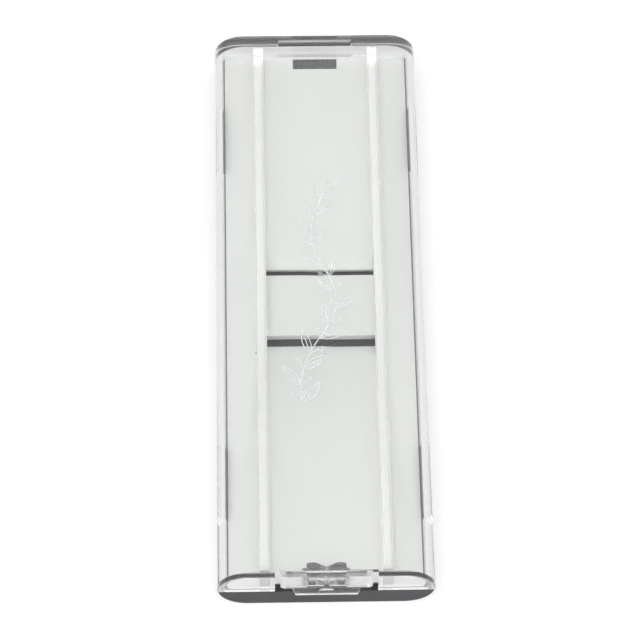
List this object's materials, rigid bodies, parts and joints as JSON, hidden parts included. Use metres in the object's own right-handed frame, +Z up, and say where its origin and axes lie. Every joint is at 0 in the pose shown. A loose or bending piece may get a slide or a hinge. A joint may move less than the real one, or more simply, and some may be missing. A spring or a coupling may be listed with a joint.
{
  "type": "reed case",
  "caption": "Flat pocket case for a woodwind reed: a clear hinged lid with long inner ribs and a snap tongue at the front closes over a dark tray with a pale drop-in reed plate.",
  "frame": {"origin": "centre of the tray's flat underside", "axes": "+Y along the case towards the hinge, +Z up through the lid, +X to the right seen from the latch"},
  "size_m": [0.036, 0.1083, 0.0104],
  "materials": {
    "tray": "dark grey moulded plastic, plain outside, fine speckle inside",
    "plate": "pale satin plastic, slightly worn",
    "clear_shell": "clear polished plastic with fine handling scratches"
  },
  "bodies": {
    "base": {"base_tray": "tray", "reed_plate": "plate"},
    "lid": {"lid": "clear_shell"},
    "latch": {"latch_tongue": "clear_shell"}
  },
  "joints": [
    {"name": "lid_hinge", "type": "hinge", "parent": "base", "child": "lid", "pos_m": [0, 0.05275, 0.0029], "axis": [-1, 0, 0], "range_deg": [0, 105]},
    {"name": "tongue_flex", "type": "hinge", "parent": "lid", "child": "latch", "pos_m": [0, -0.05234, 0.0099], "axis": [1, 0, 0], "range_deg": [0, 4], "stiffness_Nm_per_rad": 0.2}
  ]
}
